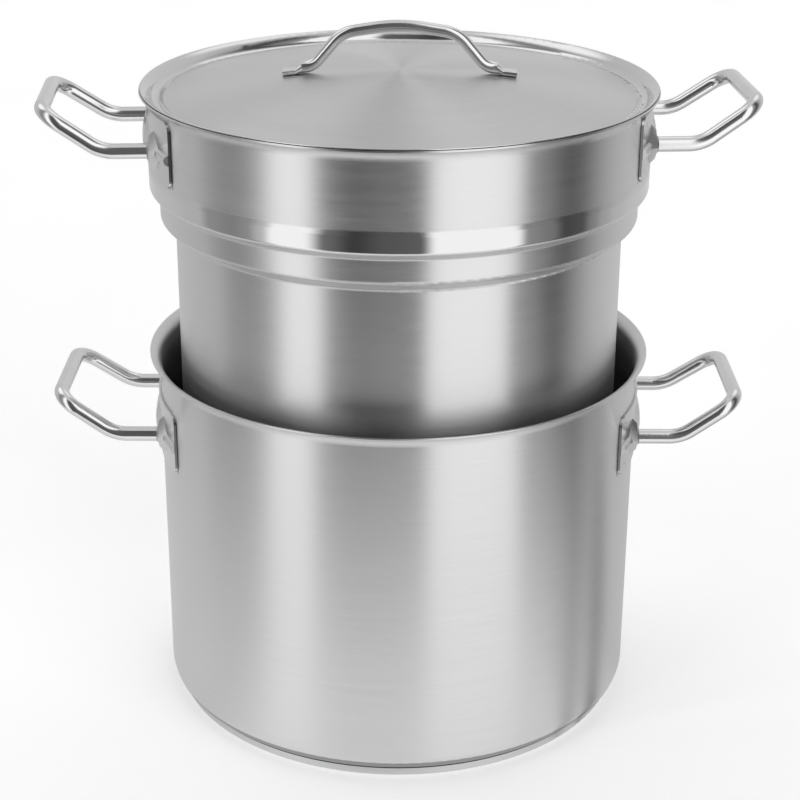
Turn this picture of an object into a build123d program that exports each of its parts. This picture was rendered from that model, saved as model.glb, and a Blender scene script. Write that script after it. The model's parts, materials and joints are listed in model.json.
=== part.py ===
from build123d import *
import math
import os

# Stockpot double boiler: an outer boiler pot, a stepped insert pot that hangs in its
# rim, and a lid. Lengths are in millimetres and angles in degrees. The boiler stands
# on z = 0 at the origin, its handles point along X, and the insert is drawn raised
# above its seat, the way it is lifted out.

# Sheet metal
wall_thickness = 1.0
lid_thickness = 0.8
bracket_thickness = 1.2
contact_gap = 0.1
seat_clearance = 0.3

# Flared rim that both pots share
rim_radius = 7.0
rim_angle = 75.0
rim_lip = 0.4

# Boiler pot
boiler_radius = 148.0
boiler_height = 226.0
boiler_corner = 9.0

# Sandwich base under the boiler pot
base_height = 5.8
base_inset = 5.5
base_corner = 2.5
cap_thickness = 0.7

# Insert pot
insert_height = 240.5
insert_raise = 106.2
insert_turn = 4.0
insert_corner = 12.0
collar_height = 45.1
seat_band_height = 12.6
seat_band_flare = 1.3
seat_band_corner = 2.5
seat_band_blend = 3.0
seat_step_height = 4.4
neck_height = 14.0
neck_clearance = 3.5
neck_corner = 2.0
body_step = 8.9
body_step_height = 6.0
body_corner = 3.0

# Lid
lid_crown = 14.0
lid_well_inset = 6.0
lid_groove_radius = 4.5
lid_flange_angle = 65.0
lid_edge_angle = 20.0
lid_flange_straight = 0.3
lid_lip = 0.3
ridge_inset = 1.2
ridge_half_width = 1.6
ridge_height = 0.8

# Lid handle
lid_rod_radius = 3.5
lid_handle_tip = 68.7
lid_handle_bend = 50.5
lid_shoulder = 34.0
lid_shoulder_rise = 19.8
lid_arch_rise = 5.4
lid_bend_radius = 12.0
lid_shoulder_radius = 20.0
lid_arch_radius = 100.0
foot_rod_length = 6.5
foot_taper_length = 4.0
foot_thickness = 3.0
foot_neck_width = 8.6
foot_tip_width = 10.8

# Side handles
rod_radius = 4.5
handle_spread = 43.0
grip_spread = 40.2
handle_bend_reach = 25.0
grip_reach = 58.5
grip_rise = 22.5
handle_bend_radius = 24.0
grip_corner_radius = 14.0
weld_leg = 1.2

# Stamped brackets
bracket_half_span = 66.0
bracket_height = 38.5
bracket_corner = 6.0
bracket_rod_drop = 2.0
boiler_bracket_drop = 24.6
insert_bracket_drop = 6.4
swell_rise = 2.6
swell_height = 30.0
swell_half_width = 22.0
swell_run_out = 10.0
boss_standoff = 4.4
boss_half_height = 13.0
boss_half_width = 12.0
boss_face_margin = 0.4
rib_radius = 3.2
spot_radius = 3.5
spot_depth = 0.3
spot_inset = 6.0

# One overrun for every cut that has to pass a face
overrun = 5.0

# Sheet sections


def offset_points(points, distance):
    """Corner points of the line that runs at this distance to the left of a line."""
    moved = []
    for index, point in enumerate(points):
        before = points[max(index - 1, 0)]
        after = points[min(index + 1, len(points) - 1)]
        arriving = (Vector(*point) - Vector(*before)) if index else (Vector(*after) - Vector(*point))
        leaving = (Vector(*after) - Vector(*point)) if after != point else arriving
        arriving_normal = arriving.normalized().rotate(Axis.Z, 90)
        leaving_normal = leaving.normalized().rotate(Axis.Z, 90)
        mitre = (arriving_normal + leaving_normal) / (1 + arriving_normal.dot(leaving_normal))
        shifted = Vector(*point) + mitre * distance
        moved.append((shifted.X, shifted.Y))
    return moved


def corner_turns(points):
    """For each inner corner of a line, 1 where it turns left and -1 where it turns right."""
    turns = []
    for before, point, after in zip(points, points[1:], points[2:]):
        arriving = Vector(*point) - Vector(*before)
        leaving = Vector(*after) - Vector(*point)
        turns.append(math.copysign(1, arriving.cross(leaving).Z))
    return turns


def offset_line(points, radii, distance):
    """Rounded line that runs at this distance to the left of another rounded line."""
    side_radii = []
    for radius, turn in zip(radii, corner_turns(points)):
        side_radii.append(radius - turn * distance if radius else 0)
    return FilletPolyline(*offset_points(points, distance), radius=side_radii)


def square_edge(points, thickness):
    """Square edge that closes a sheet section after its last point."""
    return Line(offset_points(points, thickness / 2)[-1], offset_points(points, -thickness / 2)[-1])


def rounded_edge(points, thickness):
    """Half-round edge that closes a sheet section after its last point."""
    left = offset_points(points, thickness / 2)[-1]
    right = offset_points(points, -thickness / 2)[-1]
    along = (Vector(*points[-1]) - Vector(*points[-2])).normalized()
    tip = Vector(*points[-1]) + along * (thickness / 2)
    return ThreePointArc(left, (tip.X, tip.Y), right)


def bent_rod(points, radii, rod_size):
    """Round rod of a given radius, straight between its corners and bent round each of them."""
    rod = Part()
    for edge in FilletPolyline(*points, radius=radii).edges():
        start = edge @ 0
        along = edge % 0
        section = Plane(origin=start, z_dir=along) * Circle(rod_size)
        if edge.geom_type == GeomType.LINE:
            rod += extrude(section, edge.length)
        else:
            centre = edge.arc_center
            bend_angle = math.degrees(edge.length / edge.radius)
            rod += revolve(section, Axis(centre, (start - centre).cross(along)), bend_angle)
    return rod


def spin(section):
    """Solid of revolution about the pot axis from a section drawn as radius and height."""
    return revolve(Plane.XZ * section, Axis.Z)


def sheet_vessel(points, radii, thickness, edge):
    """Round vessel of one sheet thickness whose middle line starts on the axis."""
    left = offset_line(points, radii, thickness / 2)
    right = offset_line(points, radii, -thickness / 2)
    start = Line(left @ 0, right @ 0)
    return spin(make_face(left + right + start + edge(points, thickness)))


# Rim geometry

boiler_middle = boiler_radius - wall_thickness / 2
rim_top_radius = rim_radius + wall_thickness / 2
rim_tangent = rim_radius * math.tan(math.radians(rim_angle / 2))
rim_end_rise = rim_tangent + (rim_tangent + rim_lip) * math.cos(math.radians(rim_angle))
rim_edge_rise = math.sin(math.radians(rim_angle)) * wall_thickness / 2
rim_depth = rim_end_rise + rim_edge_rise
rim_end_reach = (rim_tangent + rim_lip) * math.sin(math.radians(rim_angle))


def rim_points(middle_radius, rim_z):
    """The last two points of a pot wall's middle line: the flare's corner and its lip."""
    corner_z = rim_z - rim_depth + rim_tangent
    return [(middle_radius, corner_z), (middle_radius + rim_end_reach, rim_z - rim_edge_rise)]


# Boiler pot

boiler_floor_middle = base_height + wall_thickness / 2
boiler_line = [(0, boiler_floor_middle), (boiler_middle, boiler_floor_middle)]
boiler_line += rim_points(boiler_middle, boiler_height)
boiler_shell = sheet_vessel(boiler_line, [boiler_corner, rim_radius], wall_thickness, rounded_edge)

# Sandwich base: a steel cap pressed over an aluminium core

base_radius = boiler_radius - base_inset
cap_line = [
    (0, cap_thickness / 2),
    (base_radius - cap_thickness / 2, cap_thickness / 2),
    (base_radius - cap_thickness / 2, base_height),
]
boiler_base_cap = sheet_vessel(cap_line, [base_corner], cap_thickness, square_edge)

core_radius = base_radius - cap_thickness - contact_gap
core_height = base_height - cap_thickness
core_section = Plane.XZ * (
    Pos(core_radius / 2, cap_thickness + core_height / 2) * Rectangle(core_radius, core_height)
)
core_blank = revolve(core_section, Axis.Z)
core_rim = core_blank.edges().filter_by(GeomType.CIRCLE).group_by(Axis.Z)[0]
boiler_base_core = fillet(core_rim, base_corner)

# Insert pot: where it sits in the boiler rim, and how far it is raised above that

insert_middle = boiler_middle
seat_middle = insert_middle + seat_band_flare
neck_middle = boiler_radius - wall_thickness - neck_clearance - wall_thickness / 2
body_middle = neck_middle - body_step

seat_curve_radius = seat_band_corner + wall_thickness / 2
rim_centre_radius = boiler_middle + rim_radius
rim_centre_z = boiler_height - rim_depth
seat_curve_centre = seat_middle + wall_thickness / 2 - seat_curve_radius
seat_reach = rim_centre_radius - seat_curve_centre
seat_distance = rim_top_radius + seat_curve_radius + seat_clearance
seat_rise = math.sqrt(seat_distance ** 2 - seat_reach ** 2)
seat_slope = math.atan2(seat_step_height, seat_middle - neck_middle)
seat_tangent = seat_band_corner * math.tan((math.pi / 2 - seat_slope) / 2)

seat_z = rim_centre_z + seat_rise - seat_tangent + insert_raise
crease_z = seat_z + seat_band_height
insert_rim_z = crease_z + collar_height
insert_floor_z = insert_rim_z - insert_height
neck_top_z = seat_z - seat_step_height
neck_bottom_z = neck_top_z - neck_height
body_top_z = neck_bottom_z - body_step_height

insert_line = [
    (0, insert_floor_z + wall_thickness / 2),
    (body_middle, insert_floor_z + wall_thickness / 2),
    (body_middle, body_top_z),
    (neck_middle, neck_bottom_z),
    (neck_middle, neck_top_z),
    (seat_middle, seat_z),
    (seat_middle, crease_z - seat_band_blend),
    (insert_middle, crease_z),
]
insert_line += rim_points(insert_middle, insert_rim_z)
insert_radii = [
    insert_corner,
    body_corner,
    body_corner,
    neck_corner,
    seat_band_corner,
    0,
    0,
    rim_radius,
]
insert_shell = sheet_vessel(insert_line, insert_radii, wall_thickness, square_edge)

# Lid: a shallow dome, a groove with a raised ridge, and a flange that nests in the rim

nest_radius = rim_top_radius + seat_clearance + lid_thickness / 2
nest_centre = (insert_middle + rim_radius, insert_rim_z - rim_depth)
flange_angle = math.radians(lid_flange_angle)
edge_angle = math.radians(lid_edge_angle)
well_radius = insert_middle - lid_well_inset
dome_radius = (well_radius ** 2 + lid_crown ** 2) / (2 * lid_crown)
well_angle = math.asin(well_radius / dome_radius)

flange_start = (
    nest_centre[0] - nest_radius * math.sin(flange_angle),
    nest_centre[1] + nest_radius * math.cos(flange_angle),
)
bend_tangent = nest_radius * math.tan((flange_angle - edge_angle) / 2)
groove_tangent = lid_groove_radius * math.tan((flange_angle + well_angle) / 2)
flange_corner = (
    flange_start[0] + bend_tangent * math.cos(flange_angle),
    flange_start[1] + bend_tangent * math.sin(flange_angle),
)
lid_edge = (
    flange_corner[0] + (bend_tangent + lid_lip) * math.cos(edge_angle),
    flange_corner[1] + (bend_tangent + lid_lip) * math.sin(edge_angle),
)
groove_run = groove_tangent + lid_flange_straight
groove_corner = (
    flange_start[0] - groove_run * math.cos(flange_angle),
    flange_start[1] - groove_run * math.sin(flange_angle),
)
well_z = groove_corner[1] + (groove_corner[0] - well_radius) * math.tan(well_angle)
dome_centre_z = well_z - dome_radius * math.cos(well_angle)
lid_line = [(well_radius, well_z), groove_corner, flange_corner, lid_edge]


def dome_z(radius, offset):
    """Height of the lid's dome at a radius, at an offset above its middle surface."""
    return dome_centre_z + math.sqrt((dome_radius + offset) ** 2 - radius ** 2)


def dome_arc(offset):
    """Section of the dome from the axis to the well's edge, at an offset from its middle."""
    points = []
    for angle in (0, well_angle / 2, well_angle):
        reach = dome_radius + offset
        points.append((reach * math.sin(angle), dome_centre_z + reach * math.cos(angle)))
    return ThreePointArc(*points)


def lid_side(offset):
    """Section line of the lid from its centre to its edge, at an offset from its middle."""
    return dome_arc(offset) + offset_line(lid_line, [lid_groove_radius, nest_radius], offset)


def lid_sheet():
    """The lid's pressed sheet."""
    half = lid_thickness / 2
    axis_line = Line((0, dome_z(0, half)), (0, dome_z(0, -half)))
    return spin(make_face(lid_side(half) + lid_side(-half) + axis_line + rounded_edge(lid_line, lid_thickness)))


def lid_ridge():
    """The thin ring pressed up at the edge of the dome."""
    radius = well_radius - ridge_inset
    crest = dome_z(radius, lid_thickness / 2) + ridge_height
    left = (radius - ridge_half_width, dome_z(radius - ridge_half_width, 0))
    right = (radius + ridge_half_width, dome_z(radius + ridge_half_width, 0))
    return spin(make_face(ThreePointArc(left, (radius, crest), right) + Line(right, left)))


lid_disc = lid_sheet() + lid_ridge()

# Lid handle: a bent rod whose ends are pressed flat and welded to the dome

foot_middle = (lid_handle_tip + lid_handle_bend) / 2
foot_slope = math.asin(foot_middle / dome_radius)
foot_seat_z = dome_z(foot_middle, lid_thickness / 2) + contact_gap


def foot_point(x, height):
    """Point over a handle foot, at a height above the line that the foot rests on."""
    rest = foot_seat_z - (x - foot_middle) * math.tan(foot_slope)
    return (x + height * math.sin(foot_slope), 0, rest + height * math.cos(foot_slope))


def foot_section_plane(x, height):
    """Plane across a handle foot."""
    outward = (math.cos(foot_slope), 0, -math.sin(foot_slope))
    return Plane(origin=foot_point(x, height), x_dir=(0, 1, 0), z_dir=outward)


foot_rod_end = lid_handle_bend + foot_rod_length
foot_flat_start = foot_rod_end + foot_taper_length
lid_bend_point = foot_point(lid_handle_bend, lid_rod_radius)
lid_shoulder_z = lid_bend_point[2] + lid_shoulder_rise


def lid_handle_rod():
    """The round part of the lid handle, from one foot to the other."""
    half_path = [
        foot_point(foot_rod_end, lid_rod_radius),
        lid_bend_point,
        (lid_shoulder, 0, lid_shoulder_z),
    ]
    other_half = [(-x, y, z) for x, y, z in reversed(half_path)]
    path = half_path + [(0, 0, lid_shoulder_z + lid_arch_rise)] + other_half
    radii = [lid_bend_radius, lid_shoulder_radius, lid_arch_radius, lid_shoulder_radius, lid_bend_radius]
    return bent_rod(path, radii, lid_rod_radius)


def lid_handle_foot():
    """One flattened end of the lid handle."""
    round_end = foot_section_plane(foot_rod_end, lid_rod_radius) * Circle(lid_rod_radius)
    corner = foot_thickness / 2 - contact_gap
    flat_plane = foot_section_plane(foot_flat_start, foot_thickness / 2)
    tip_plane = foot_section_plane(lid_handle_tip, foot_thickness / 2)
    flat_start = flat_plane * RectangleRounded(foot_neck_width, foot_thickness, corner)
    flat_tip = tip_plane * RectangleRounded(foot_tip_width, foot_thickness, corner)
    return loft([round_end, flat_start]) + loft([flat_start, flat_tip])


right_foot = lid_handle_foot()
lid_handle = lid_handle_rod() + right_foot + mirror(right_foot, Plane.YZ)

# Side handles: one bent rod each, butted on two bosses of a stamped bracket

boss_angle = math.degrees(math.asin(handle_spread / boiler_radius))
boss_face_x = math.sqrt(boiler_radius ** 2 - handle_spread ** 2) + boss_standoff
bracket_inner = boiler_radius + contact_gap
bracket_outer = bracket_inner + bracket_thickness
bracket_middle_z = bracket_rod_drop
swell_crest = bracket_outer + swell_rise


def side_handle():
    """The bent rod of a side handle on the +X side, with its feet at z = 0."""
    half_path = [
        (boss_face_x, handle_spread, 0),
        (boiler_radius + handle_bend_reach, handle_spread, 0),
        (boiler_radius + grip_reach, grip_spread, grip_rise),
    ]
    other_half = [(x, -y, z) for x, y, z in reversed(half_path)]
    radii = [handle_bend_radius, grip_corner_radius, grip_corner_radius, handle_bend_radius]
    return bent_rod(half_path + other_half, radii, rod_radius)


def weld_ring(side):
    """Weld collar round one foot of a side handle."""
    seat = Plane(origin=(boss_face_x, side * handle_spread, 0), z_dir=(1, 0, 0))
    bottom = rod_radius + weld_leg
    top = rod_radius + contact_gap
    middle = Align.CENTER
    collar = Cone(bottom, top, weld_leg, align=(middle, middle, Align.MIN))
    hole = Cylinder(rod_radius + contact_gap / 2, weld_leg, align=(middle, middle, Align.MIN))
    return seat * (collar - hole)


def wedge_section(angle, section):
    """A radius and height section turned to an angle about the pot axis."""
    return Rot(0, 0, angle) * (Plane.XZ * section)


def swell_section(crest, base, half_height):
    """Shallow arched section of the bracket's raised middle."""
    foot = bracket_inner + bracket_thickness / 2
    low = (foot, -half_height)
    high = (foot, half_height)
    outline = ThreePointArc(low, (crest, 0), high)
    outline += Polyline(high, (base, half_height), (base, -half_height), low)
    return make_face(outline)


def bracket_swell():
    """Raised middle of the bracket, which runs out to the plate at both ends."""
    full = swell_section(swell_crest, bracket_inner, swell_height / 2)
    faded = swell_section(bracket_outer - contact_gap, bracket_inner, swell_height / 4)
    flat_angle = math.degrees(swell_half_width / boiler_radius)
    end_angle = math.degrees((swell_half_width + swell_run_out) / boiler_radius)
    swell = Rot(0, 0, -flat_angle) * revolve(Plane.XZ * full, Axis.Z, 2 * flat_angle)
    for side in (-1, 1):
        sections = [wedge_section(side * flat_angle, full), wedge_section(side * end_angle, faded)]
        swell += loft(sections, ruled=True)
    return swell


def swell_hollow():
    """Space behind the raised middle, which leaves it one sheet thick."""
    half_height = swell_height / 2 - bracket_thickness
    low = (bracket_inner, -half_height)
    high = (bracket_inner, half_height)
    back = bracket_inner - overrun
    outline = ThreePointArc(low, (swell_crest - bracket_thickness, 0), high)
    outline += Polyline(high, (back, half_height), (back, -half_height), low)
    flat_angle = math.degrees(swell_half_width / boiler_radius)
    section = Plane.XZ * make_face(outline)
    return Rot(0, 0, -flat_angle) * revolve(section, Axis.Z, 2 * flat_angle)


def diamond(half_width, half_height):
    """Four-pointed outline."""
    return make_face(
        Polyline((half_width, 0), (0, half_height), (-half_width, 0), (0, -half_height), close=True)
    )


def boss(side):
    """Four-sided pad on which one foot of the handle is welded."""
    angle = side * math.radians(boss_angle)
    outward = (math.cos(angle), math.sin(angle), 0)
    base_origin = (bracket_inner * math.cos(angle), bracket_inner * math.sin(angle), 0)
    base = Plane(origin=base_origin, x_dir=(-outward[1], outward[0], 0), z_dir=outward)
    face = Plane(origin=(boss_face_x, side * handle_spread, 0), x_dir=(0, 1, 0), z_dir=(1, 0, 0))
    face_half = (rod_radius + weld_leg + boss_face_margin) * math.sqrt(2)
    return loft(
        [base * diamond(boss_half_width, boss_half_height), face * diamond(face_half, face_half)],
        ruled=True,
    )


def stiffening_rib(side):
    """Half-round rib that runs from a boss to the bracket's edge."""
    section = Plane.XZ * (Pos(bracket_outer - bracket_thickness / 2, 0) * Circle(rib_radius))
    edge_angle = math.degrees(math.asin(bracket_half_span / bracket_inner))
    start = boss_angle if side > 0 else -edge_angle
    return Rot(0, 0, start) * revolve(section, Axis.Z, edge_angle - boss_angle)


def bracket_outline():
    """Block that trims the bracket to its rounded rectangular outline."""
    sketch = Pos(0, bracket_middle_z) * RectangleRounded(2 * bracket_half_span, bracket_height, bracket_corner)
    return extrude(Plane.YZ * sketch, swell_crest + overrun)


def spot_dimples():
    """Dimples of the spot welds in the four corners of the bracket."""
    dimples = []
    spot_angle = math.degrees((bracket_half_span - spot_inset) / boiler_radius)
    for side in (-1, 1):
        for level in (-1, 1):
            z = bracket_middle_z + level * (bracket_height / 2 - spot_inset)
            centre = Pos(bracket_outer + spot_radius - spot_depth, 0, z)
            dimples.append(Rot(0, 0, side * spot_angle) * centre * Sphere(spot_radius))
    return dimples


def stamped_bracket():
    """The bracket of one side handle on the +X side, with the handle's feet at z = 0."""
    plate_section = Pos(bracket_inner + bracket_thickness / 2, bracket_middle_z) * Rectangle(
        bracket_thickness, bracket_height
    )
    plate = spin(plate_section)
    raised = bracket_swell() + boss(-1) + boss(1) + stiffening_rib(-1) + stiffening_rib(1)
    trimmed = (plate + raised) & bracket_outline()
    behind = Cylinder(bracket_inner, bracket_height * 2) + swell_hollow()
    return trimmed - behind - spot_dimples()


handle = side_handle()
handle_welds = weld_ring(-1) + weld_ring(1)
bracket = stamped_bracket()

# Each pot carries the same bracket and handle on its left and right

boiler_rod_z = boiler_height - boiler_bracket_drop - bracket_height / 2 - bracket_rod_drop
insert_rod_z = insert_rim_z - insert_bracket_drop - bracket_height / 2 - bracket_rod_drop

parts = {
    "boiler_shell": boiler_shell,
    "boiler_base_core": boiler_base_core,
    "boiler_base_cap": boiler_base_cap,
    "insert_shell": insert_shell,
    "lid_disc": lid_disc,
    "lid_handle": lid_handle,
}
placements = {
    "boiler": Pos(0, 0, boiler_rod_z),
    "insert": Pos(0, 0, insert_rod_z) * Rot(0, 0, insert_turn),
}
for pot, place in placements.items():
    for side, turn in (("right", 0), ("left", 180)):
        at_side = place * Rot(0, 0, turn)
        parts[f"{pot}_bracket_{side}"] = at_side * bracket
        parts[f"{pot}_handle_{side}"] = at_side * handle
        parts[f"{pot}_handle_welds_{side}"] = at_side * handle_welds

os.makedirs("parts", exist_ok=True)
for name, shape in parts.items():
    export_step(shape, f"parts/{name}.step")

print("boiler rim", boiler_height, "insert floor", insert_floor_z, "insert rim", insert_rim_z)
print("crease", crease_z, "seat", seat_z, "neck", neck_top_z, neck_bottom_z, "body top", body_top_z)
print("lid edge", lid_edge, "dome top", dome_z(0, lid_thickness / 2))
print("rod heights", boiler_rod_z, insert_rod_z, "boss face", boss_face_x)
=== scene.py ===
import json
import math

import bpy
from mathutils import Matrix, Vector


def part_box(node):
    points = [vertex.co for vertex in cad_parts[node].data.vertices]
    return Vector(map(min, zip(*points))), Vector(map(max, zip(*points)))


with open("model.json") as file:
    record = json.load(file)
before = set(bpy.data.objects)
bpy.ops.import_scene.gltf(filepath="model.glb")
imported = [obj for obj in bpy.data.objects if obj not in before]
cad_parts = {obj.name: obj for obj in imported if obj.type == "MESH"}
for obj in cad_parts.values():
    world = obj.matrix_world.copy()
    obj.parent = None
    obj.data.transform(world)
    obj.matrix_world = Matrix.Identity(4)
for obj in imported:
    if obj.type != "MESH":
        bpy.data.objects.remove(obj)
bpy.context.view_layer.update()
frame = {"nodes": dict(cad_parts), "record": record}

# Looks of the stockpot double boiler: stainless steel under soft studio light.
# Lengths are in metres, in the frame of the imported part, with Z up and the handles along X.

# Camera at the photograph's angle

CAMERA_PLACE = Vector((0.0012, -1.1046, 0.6474))
CAMERA_PITCH = 22.70
CAMERA_ROLL = 0.3
CAMERA_LENS = 85.3
SENSOR_WIDTH = 36.0


def add_camera():
    """The camera, aimed by pitch below the horizon and roll."""
    data = bpy.data.cameras.new("camera")
    data.lens = CAMERA_LENS
    data.sensor_width = SENSOR_WIDTH
    camera = bpy.data.objects.new("camera", data)
    bpy.context.scene.collection.objects.link(camera)
    tilt = Matrix.Rotation(math.radians(90 - CAMERA_PITCH), 4, "X")
    roll = Matrix.Rotation(math.radians(CAMERA_ROLL), 4, "Z")
    camera.matrix_world = Matrix.Translation(CAMERA_PLACE) @ tilt @ roll
    bpy.context.scene.camera = camera


add_camera()

# Node helpers


class Tree:
    """Short calls for building a node tree."""

    def __init__(self, tree):
        self.tree = tree
        tree.nodes.clear()

    def node(self, kind, **settings):
        made = self.tree.nodes.new(kind)
        for key, value in settings.items():
            setattr(made, key, value)
        return made

    def link(self, source, target):
        self.tree.links.new(source, target)

    def feed(self, socket, value):
        """Links a socket to another one, or sets it to a plain value."""
        if isinstance(value, bpy.types.NodeSocket):
            self.link(value, socket)
        else:
            socket.default_value = value

    def math(self, operation, *values, clamp=False):
        made = self.node("ShaderNodeMath", operation=operation, use_clamp=clamp)
        for index, value in enumerate(values):
            self.feed(made.inputs[index], value)
        return made.outputs[0]

    def split(self, vector):
        made = self.node("ShaderNodeSeparateXYZ")
        self.link(vector, made.inputs[0])
        return made.outputs[0], made.outputs[1], made.outputs[2]

    def reach(self, x, y):
        """Distance from the pots' axis."""
        squares = self.math("ADD", self.math("MULTIPLY", x, x), self.math("MULTIPLY", y, y))
        return self.math("SQRT", squares)

    def around(self, x, y):
        """Share of a turn from 0 to 1 about the axis, 0.5 at the camera's side."""
        azimuth = self.math("ARCTAN2", x, self.math("MULTIPLY", y, -1.0))
        return self.remap(azimuth, -math.pi, math.pi, 0.0, 1.0)

    def join(self, x, y, z):
        made = self.node("ShaderNodeCombineXYZ")
        for socket, value in zip(made.inputs, (x, y, z)):
            self.feed(socket, value)
        return made.outputs[0]

    def ramp(self, factor, stops, interpolation="EASE"):
        """Grey level from 0 to 1 by a list of (position, level) stops."""
        made = self.node("ShaderNodeValToRGB")
        ramp = made.color_ramp
        ramp.interpolation = interpolation
        while len(ramp.elements) < len(stops):
            ramp.elements.new(0.5)
        for element, (position, level) in zip(ramp.elements, stops):
            element.position = position
            element.color = (level, level, level, 1)
        self.feed(made.inputs[0], factor)
        return made.outputs[0]

    def noise(self, vector, scale, detail=2.0, roughness=0.5):
        made = self.node("ShaderNodeTexNoise")
        self.link(vector, made.inputs["Vector"])
        made.inputs["Scale"].default_value = scale
        made.inputs["Detail"].default_value = detail
        made.inputs["Roughness"].default_value = roughness
        return made.outputs[0]

    def remap(self, value, low, high, to_low, to_high):
        """Straight line from one range to another, held at both ends."""
        made = self.node("ShaderNodeMapRange", clamp=True)
        for socket, number in zip(made.inputs, (value, low, high, to_low, to_high)):
            self.feed(socket, number)
        return made.outputs[0]

    def smooth(self, value, low, high, to_low=0.0, to_high=1.0):
        """Smooth step from one range to another."""
        made = self.node("ShaderNodeMapRange", clamp=True, interpolation_type="SMOOTHSTEP")
        for socket, number in zip(made.inputs, (value, low, high, to_low, to_high)):
            self.feed(socket, number)
        return made.outputs[0]

    def window(self, value, start, end, edge):
        """1 between start and end, with soft edges, and 0 outside."""
        rising = self.smooth(value, start - edge, start + edge)
        falling = self.smooth(value, end - edge, end + edge, 1.0, 0.0)
        return self.math("MULTIPLY", rising, falling)


# Studio light: softboxes and dark flags as a surrounding dome
# (direction round the axis in degrees, 0 at the camera's side and 90 to the right, level)

AZIMUTH_LEVELS = [
    (-180, 0.66),
    (-130, 0.62),
    (-102, 0.56),
    (-94, 0.34),
    (-80, 0.28),
    (-72, 0.34),
    (-64, 0.62),
    (-58, 1.25),
    (-43, 1.25),
    (-33, 0.18),
    (-20, 0.06),
    (-4, 0.12),
    (10, 0.14),
    (17, 1.25),
    (54, 1.25),
    (60, 0.32),
    (72, 0.24),
    (80, 0.08),
    (90, 0.10),
    (97, 0.28),
    (106, 0.46),
    (116, 0.58),
    (130, 0.66),
    (180, 0.70),
]
LIGHT_PEAK = 2.0
BACKDROP_TONE = 0.93
# Extra panels for the back and sides: (azimuth, elevation, inner and outer half angle, level)
PANELS = [
    (-122, 52, 10, 24, 0.6),
    (148, 52, 8, 20, 0.4),
]
# The dome ends in plain light overhead and beneath, between these heights of a unit direction
OVERHEAD_LEVEL = 0.72
OVERHEAD_FROM = 0.88
OVERHEAD_FULL = 0.985
BENEATH_LEVEL = 0.9
BENEATH_FROM = -0.6
BENEATH_FULL = -0.9


def azimuth_stops(levels):
    """Ramp stops for a list of (degrees, level), scaled to the light's peak."""
    return [(degrees / 360 + 0.5, level / LIGHT_PEAK) for degrees, level in levels]


def direction_of(azimuth, elevation):
    """Direction towards an azimuth, 0 at the camera's side and 90 to the right, and an elevation."""
    a, e = math.radians(azimuth), math.radians(elevation)
    return (math.sin(a) * math.cos(e), -math.cos(a) * math.cos(e), math.sin(e))


def add_world():
    """Light by direction, and a plain pale backdrop where the camera sees it directly."""
    world = bpy.data.worlds.new("studio")
    bpy.context.scene.world = world
    world.use_nodes = True
    t = Tree(world.node_tree)
    direction = t.node("ShaderNodeTexCoord").outputs["Generated"]
    x, y, z = t.split(direction)
    around = t.math("MULTIPLY", t.ramp(t.around(x, y), azimuth_stops(AZIMUTH_LEVELS)), LIGHT_PEAK)
    high = t.smooth(z, OVERHEAD_FROM, OVERHEAD_FULL)
    low = t.smooth(z, BENEATH_FULL, BENEATH_FROM, 1.0, 0.0)
    overhead = t.math("MULTIPLY", high, OVERHEAD_LEVEL)
    beneath = t.math("MULTIPLY", low, BENEATH_LEVEL)
    kept = t.math("SUBTRACT", 1.0, t.math("ADD", high, low), clamp=True)
    light = t.math("ADD", t.math("MULTIPLY", around, kept), t.math("ADD", overhead, beneath))
    for panel_azimuth, panel_elevation, inner, outer, level in PANELS:
        towards = t.node("ShaderNodeVectorMath", operation="DOT_PRODUCT")
        t.link(direction, towards.inputs[0])
        towards.inputs[1].default_value = direction_of(panel_azimuth, panel_elevation)
        near, far = math.cos(math.radians(inner)), math.cos(math.radians(outer))
        light = t.math("ADD", light, t.smooth(towards.outputs["Value"], far, near, 0.0, level))
    lamp = t.node("ShaderNodeBackground")
    t.link(light, lamp.inputs["Strength"])
    lamp.inputs["Color"].default_value = (1, 1, 1, 1)
    plain = t.node("ShaderNodeBackground")
    plain.inputs["Color"].default_value = (BACKDROP_TONE, BACKDROP_TONE, BACKDROP_TONE, 1)
    mix = t.node("ShaderNodeMixShader")
    t.link(t.node("ShaderNodeLightPath").outputs["Is Camera Ray"], mix.inputs[0])
    t.link(lamp.outputs[0], mix.inputs[1])
    t.link(plain.outputs[0], mix.inputs[2])
    output = t.node("ShaderNodeOutputWorld")
    t.link(mix.outputs[0], output.inputs[0])


add_world()
bpy.context.scene.view_settings.view_transform = "Standard"

# Floor, and the bright table top that only the metal reflects

FLOOR_SIZE = 30.0
FLOOR_HEIGHT = -0.0006
FLOOR_GRAIN = 6.0
FLOOR_TONES = (0.86, 0.90)
FLOOR_ROUGHNESS = 0.9
FLOOR_EMISSION = 0.40
TABLE_RADIUS = 0.70
TABLE_HEIGHT = -0.0003
TABLE_SHADE = [(0.15, 0.9), (0.20, 1.0)]
TABLE_FADE = [(0.42, 0.0), (0.66, 1.0)]
TABLE_LEVELS = [
    (-180, 0.72),
    (-100, 0.74),
    (-65, 0.80),
    (-35, 1.02),
    (45, 1.00),
    (70, 0.84),
    (92, 0.66),
    (125, 0.64),
    (180, 0.72),
]
# Dark stripes on the table: (place on the pot's wall in degrees, half width in degrees, level)
TABLE_STRIPES = [
    (45.0, 2.6, 0.62),
    (54.6, 2.6, 0.30),
]
STRIPE_EDGE_SHARE = 0.4
WALL_RADIUS = 0.148


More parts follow.
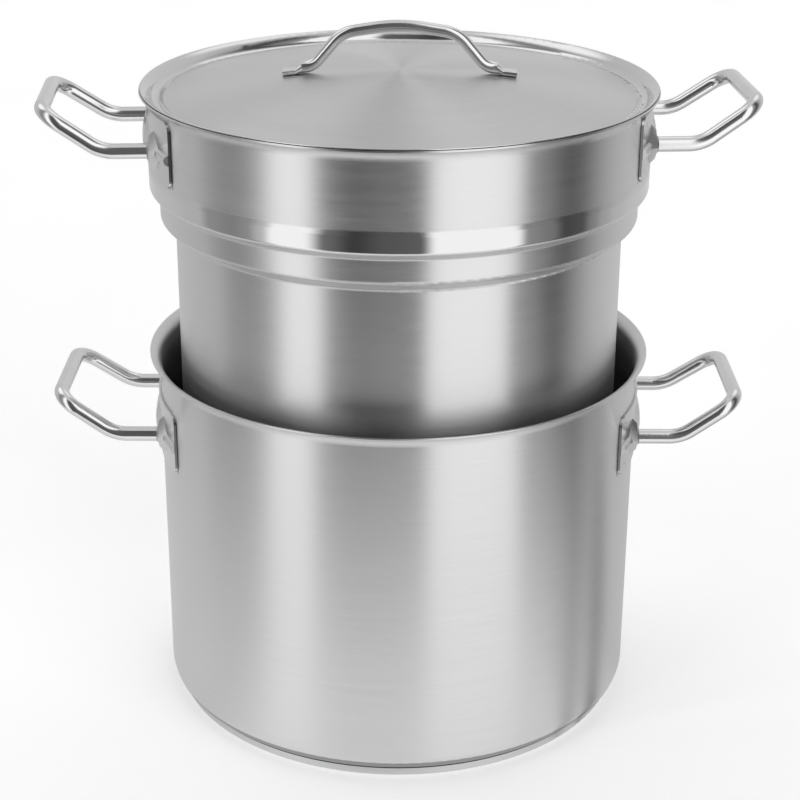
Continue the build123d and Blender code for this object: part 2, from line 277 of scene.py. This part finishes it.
def disc(name, radius, z, segments=96):
    """Flat round mesh."""
    points = [(0, 0, z)]
    for index in range(segments):
        angle = 2 * math.pi * index / segments
        points.append((radius * math.cos(angle), radius * math.sin(angle), z))
    faces = [(0, 1 + index, 1 + (index + 1) % segments) for index in range(segments)]
    mesh = bpy.data.meshes.new(name)
    mesh.from_pydata(points, [], faces)
    made = bpy.data.objects.new(name, mesh)
    bpy.context.scene.collection.objects.link(made)
    return made


def mirrored_heading(angle):
    """Heading in which the camera's view leaves the boiler pot's wall at an angle round it."""
    normal = Vector((math.sin(angle), -math.cos(angle)))
    arriving = normal * WALL_RADIUS - CAMERA_PLACE.xy
    leaving = arriving - 2 * arriving.dot(normal) * normal
    return math.atan2(leaving.x, -leaving.y)


def table_stripe(t, x, y, degrees, half_width, level):
    """Stripe that runs out from the pot and shows upright in the wall's reflection."""
    angle = math.radians(degrees)
    heading = mirrored_heading(angle)
    from_x = t.math("SUBTRACT", x, WALL_RADIUS * math.sin(angle))
    from_y = t.math("ADD", y, WALL_RADIUS * math.cos(angle))
    out_x, out_y = math.sin(heading), -math.cos(heading)
    out = t.math("ADD", t.math("MULTIPLY", from_x, out_x), t.math("MULTIPLY", from_y, out_y))
    across = t.math("SUBTRACT", t.math("MULTIPLY", from_y, out_x), t.math("MULTIPLY", from_x, out_y))
    spread = t.math("ADD", t.math("MULTIPLY", out, 2.0), WALL_RADIUS * math.cos(heading - angle))
    turned = t.math("DIVIDE", across, spread)
    half = math.radians(half_width)
    stripe = t.window(turned, -half, half, half * STRIPE_EDGE_SHARE)
    shown = t.math("MULTIPLY", stripe, t.math("GREATER_THAN", out, 0.0))
    return t.remap(shown, 0.0, 1.0, 1.0, level)


def add_floor():
    """The white floor that the camera sees."""
    floor = disc("floor", FLOOR_SIZE, FLOOR_HEIGHT)
    material = bpy.data.materials.new("floor_white")
    material.use_nodes = True
    t = Tree(material.node_tree)
    shader = t.node("ShaderNodeBsdfPrincipled")
    grain = t.noise(t.node("ShaderNodeTexCoord").outputs["Object"], FLOOR_GRAIN)
    tones = list(zip((0.0, 1.0), FLOOR_TONES))
    t.link(t.ramp(grain, tones, "LINEAR"), shader.inputs["Base Color"])
    shader.inputs["Roughness"].default_value = FLOOR_ROUGHNESS
    shader.inputs["Emission Color"].default_value = (1, 1, 1, 1)
    shader.inputs["Emission Strength"].default_value = FLOOR_EMISSION
    t.link(shader.outputs[0], t.node("ShaderNodeOutputMaterial").inputs[0])
    floor.data.materials.append(material)
    floor.visible_glossy = False


def add_table():
    """The bright round table top that only the metal reflects."""
    table = disc("table_glow", TABLE_RADIUS, TABLE_HEIGHT)
    material = bpy.data.materials.new("table_white")
    material.use_nodes = True
    t = Tree(material.node_tree)
    x, y, z = t.split(t.node("ShaderNodeTexCoord").outputs["Object"])
    reach = t.reach(x, y)
    level = t.math("MULTIPLY", t.ramp(reach, TABLE_SHADE), LIGHT_PEAK)
    level = t.math("MULTIPLY", level, t.ramp(t.around(x, y), azimuth_stops(TABLE_LEVELS)))
    for stripe in TABLE_STRIPES:
        level = t.math("MULTIPLY", level, table_stripe(t, x, y, *stripe))
    clear = t.ramp(reach, TABLE_FADE)
    glow = t.node("ShaderNodeEmission")
    t.link(level, glow.inputs["Strength"])
    see_through = t.node("ShaderNodeBsdfTransparent")
    mix = t.node("ShaderNodeMixShader")
    t.link(clear, mix.inputs[0])
    t.link(glow.outputs[0], mix.inputs[1])
    t.link(see_through.outputs[0], mix.inputs[2])
    t.link(mix.outputs[0], t.node("ShaderNodeOutputMaterial").inputs[0])
    table.data.materials.append(material)
    table.visible_camera = False
    table.visible_diffuse = False
    table.visible_shadow = False


add_floor()
add_table()

# Steel finishes

WALL_TONE = (0.70, 0.70, 0.705)
WALL_SHARPNESS = 0.89

# Brush lines: along the turning direction they are stretched, across it they are fine
BRUSH_LINES = 2600.0
BRUSH_BROADER = 12
BRUSH_STRETCH = 0.004
BRUSH_ROUGHNESS = 0.05
BRUSH_TINTS = (0.94, 1.04)
CLOUD_SCALE = 60.0
SPECK_SCALE = 900.0
CLOUD_SMOOTHER = 0.02
CLOUD_ROUGHER = 0.03
CLOUD_TINTS = (0.97, 1.03)
NOISE_RANGE = (0.3, 0.7)
BUMP_STRENGTH = 0.06
BUMP_DISTANCE = 0.0002
POLISHED_SHARE = 0.3

# Painted shade inside the boiler pot, up to its rim: the colour there is darkened
INSIDE_SHADE_SHARE = 0.45
INSIDE_RADIUS = (0.1474, 0.1477)
INSIDE_HEIGHT = (0.205, 0.222)

# Polished band of the insert pot and flange of the lid
BAND_HEIGHT = (0.3308, 0.3429)
BAND_EDGE = 0.0008
FLANGE_RADIUS = (0.1405, 0.1412)

# Painted contact shadow on the wall beside each bracket, and painted shade on the bracket plates' cut
# edges
BRACKET_HALF_SPAN = 0.066
BRACKET_FACE = 0.1494
FACE_EDGE = 0.0004
INSERT_TURN = 4.0
INSERT_FROM = 0.28
CONTACT_SHADOW_WIDTH = 0.0009
CONTACT_SHADOW_EDGE = 0.0002
CONTACT_SHADOW_END = 0.001
WALL_SKIN = (0.0004, 0.0002)
CUT_EDGE = (0.0005, 0.0002)
EDGE_SHADE_SHARE = 0.85
PAINTED_SHADE_SHARE = 0.22


def bracket_side(t, x, y, z):
    """Distance from the plane through the axis and the brackets' middles, on either pot."""
    turn = t.math("MULTIPLY", t.math("GREATER_THAN", z, INSERT_FROM), math.radians(INSERT_TURN))
    across = t.math("MULTIPLY", y, t.math("COSINE", turn))
    return t.math("ABSOLUTE", t.math("SUBTRACT", across, t.math("MULTIPLY", x, t.math("SINE", turn))))


def bracket_contact_shadow(t, x, y, z):
    """Painted contact shadow: a dark line on the outside of a pot's wall along the upright edges of
    its brackets.
    """
    shadow_end = BRACKET_HALF_SPAN + CONTACT_SHADOW_WIDTH
    side = t.window(bracket_side(t, x, y, z), BRACKET_HALF_SPAN, shadow_end, CONTACT_SHADOW_EDGE)
    beside = t.math("GREATER_THAN", t.math("ABSOLUTE", x), BRACKET_HALF_SPAN)
    skin_inner, skin_outer = (WALL_RADIUS - depth for depth in WALL_SKIN)
    outer = t.math("MULTIPLY", beside, t.smooth(t.reach(x, y), skin_inner, skin_outer))
    heights = []
    for name in ("boiler_bracket_right", "insert_bracket_right"):
        low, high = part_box(name)
        heights.append(t.window(z, low[2] + CONTACT_SHADOW_END, high[2] - CONTACT_SHADOW_END, CONTACT_SHADOW_END))
    return t.math("MULTIPLY", t.math("MULTIPLY", side, outer), t.math("ADD", *heights))


def bracket_edge_shade(t, x, y, z):
    """Painted shade on the upright edges of the bracket plates, without the ends of their ribs."""
    cut_start, cut_end = (BRACKET_HALF_SPAN - depth for depth in CUT_EDGE)
    side = t.smooth(bracket_side(t, x, y, z), cut_start, cut_end)
    flat = t.smooth(t.reach(x, y), BRACKET_FACE, BRACKET_FACE + FACE_EDGE, EDGE_SHADE_SHARE, 0.0)
    return t.math("MULTIPLY", side, flat)


def brush_lines(t, x, y, z, reach):
    """Fine and broad lines that run round the axis, as a grey level."""
    along = t.math("MULTIPLY", t.math("ARCTAN2", x, y), BRUSH_STRETCH)
    line_place = t.join(along, reach, z)
    fine = t.noise(line_place, BRUSH_LINES, 3.0, 0.6)
    broad = t.noise(line_place, BRUSH_LINES / BRUSH_BROADER, 2.0)
    return t.math("ADD", t.math("MULTIPLY", fine, 0.6), t.math("MULTIPLY", broad, 0.4))


def steel(name, tone, roughness, anisotropy, polished=None, turning=False, inner=False, painted_shade=None):
    """A steel finish.

    polished masks the mirror parts, the shade mask darkens the colour as painted shade, turning adds
    brush lines, and inner darkens the inside of the boiler pot as painted shade.
    """
    material = bpy.data.materials.new(name)
    material.use_nodes = True
    t = Tree(material.node_tree)
    shader = t.node("ShaderNodeBsdfPrincipled")
    shader.inputs["Metallic"].default_value = 1.0
    shader.inputs["Anisotropic"].default_value = anisotropy
    place = t.node("ShaderNodeTexCoord").outputs["Object"]
    x, y, z = t.split(place)
    reach = t.reach(x, y)
    mask = polished(t, reach, z) if polished else None
    if turning:
        lines = brush_lines(t, x, y, z, reach)
        rough = t.remap(lines, *NOISE_RANGE, roughness - BRUSH_ROUGHNESS, roughness + BRUSH_ROUGHNESS)
        tint = t.remap(lines, *NOISE_RANGE, *BRUSH_TINTS)
        shader.inputs["Anisotropic Rotation"].default_value = 0.25
        tangent = t.node("ShaderNodeTangent", direction_type="RADIAL", axis="Z")
        t.link(tangent.outputs[0], shader.inputs["Tangent"])
    else:
        cloud = t.noise(place, CLOUD_SCALE, 3.0)
        lines = t.noise(place, SPECK_SCALE, 2.0)
        rough = t.remap(cloud, *NOISE_RANGE, roughness - CLOUD_SMOOTHER, roughness + CLOUD_ROUGHER)
        tint = t.remap(cloud, *NOISE_RANGE, *CLOUD_TINTS)
    if mask is not None:
        rough = t.math("MULTIPLY", rough, t.remap(mask, 0.0, 1.0, 1.0, POLISHED_SHARE))
        tint = t.math("ADD", t.math("MULTIPLY", tint, t.math("SUBTRACT", 1.0, mask)), mask)
    # Painted shade: the colour inside the boiler pot is darkened
    if inner:
        within = t.smooth(reach, *INSIDE_RADIUS, 1.0, 0.0)
        inside = t.math("MULTIPLY", within, t.smooth(z, *INSIDE_HEIGHT, 1.0, 0.0))
        tint = t.math("MULTIPLY", tint, t.remap(inside, 0.0, 1.0, 1.0, INSIDE_SHADE_SHARE))
    # Painted shade: the colour is darkened under the shade mask, as a contact shadow on the pots'
    # walls and as edge shade on the bracket plates
    if painted_shade is not None:
        tint = t.math("MULTIPLY", tint, t.remap(painted_shade(t, x, y, z), 0.0, 1.0, 1.0, PAINTED_SHADE_SHARE))
    colour = t.node("ShaderNodeMix", data_type="RGBA", blend_type="MULTIPLY")
    colour.inputs[0].default_value = 1.0
    colour.inputs[6].default_value = (*tone, 1)
    t.link(t.join(tint, tint, tint), colour.inputs[7])
    t.link(colour.outputs[2], shader.inputs["Base Color"])
    t.link(rough, shader.inputs["Roughness"])
    bump = t.node("ShaderNodeBump")
    bump.inputs["Strength"].default_value = BUMP_STRENGTH
    bump.inputs["Distance"].default_value = BUMP_DISTANCE
    t.link(lines, bump.inputs["Height"])
    t.link(bump.outputs[0], shader.inputs["Normal"])
    t.link(shader.outputs[0], t.node("ShaderNodeOutputMaterial").inputs[0])
    return material


def insert_polish(t, reach, z):
    """Mirror finish on the seat band of the insert pot."""
    return t.window(z, *BAND_HEIGHT, BAND_EDGE)


def lid_polish(t, reach, z):
    """Mirror finish on the lid's flange."""
    return t.smooth(reach, *FLANGE_RADIUS)


boiler_steel = steel(
    "boiler_steel", WALL_TONE, 0.335, WALL_SHARPNESS, turning=True, inner=True, painted_shade=bracket_contact_shadow
)
insert_steel = steel(
    "insert_steel", WALL_TONE, 0.33, WALL_SHARPNESS, insert_polish, turning=True, painted_shade=bracket_contact_shadow
)
lid_steel = steel("lid_steel", WALL_TONE, 0.40, 0.85, lid_polish, turning=True)
base_steel = steel("base_steel", (0.66, 0.66, 0.665), 0.40, 0.8, turning=True)
polished_steel = steel("polished_steel", (0.76, 0.76, 0.765), 0.14, 0.0)
bracket_steel = steel("bracket_steel", (0.66, 0.66, 0.665), 0.27, 0.0, painted_shade=bracket_edge_shade)
weld_steel = steel("weld_steel", (0.52, 0.51, 0.50), 0.38, 0.0)
core_aluminium = steel("core_aluminium", (0.74, 0.75, 0.76), 0.45, 0.0)

FINISHES = {
    "boiler_steel": boiler_steel,
    "insert_steel": insert_steel,
    "lid_steel": lid_steel,
    "base_steel": base_steel,
    "core_aluminium": core_aluminium,
    "bracket_steel": bracket_steel,
    "handle_steel": polished_steel,
    "lid_handle_steel": polished_steel,
    "weld_steel": weld_steel,
}

for part in frame["record"]["subparts"]:
    node = frame["nodes"][part["node"]]
    for place in node.material_slots:
        place.material = FINISHES[part["material_slot"]]
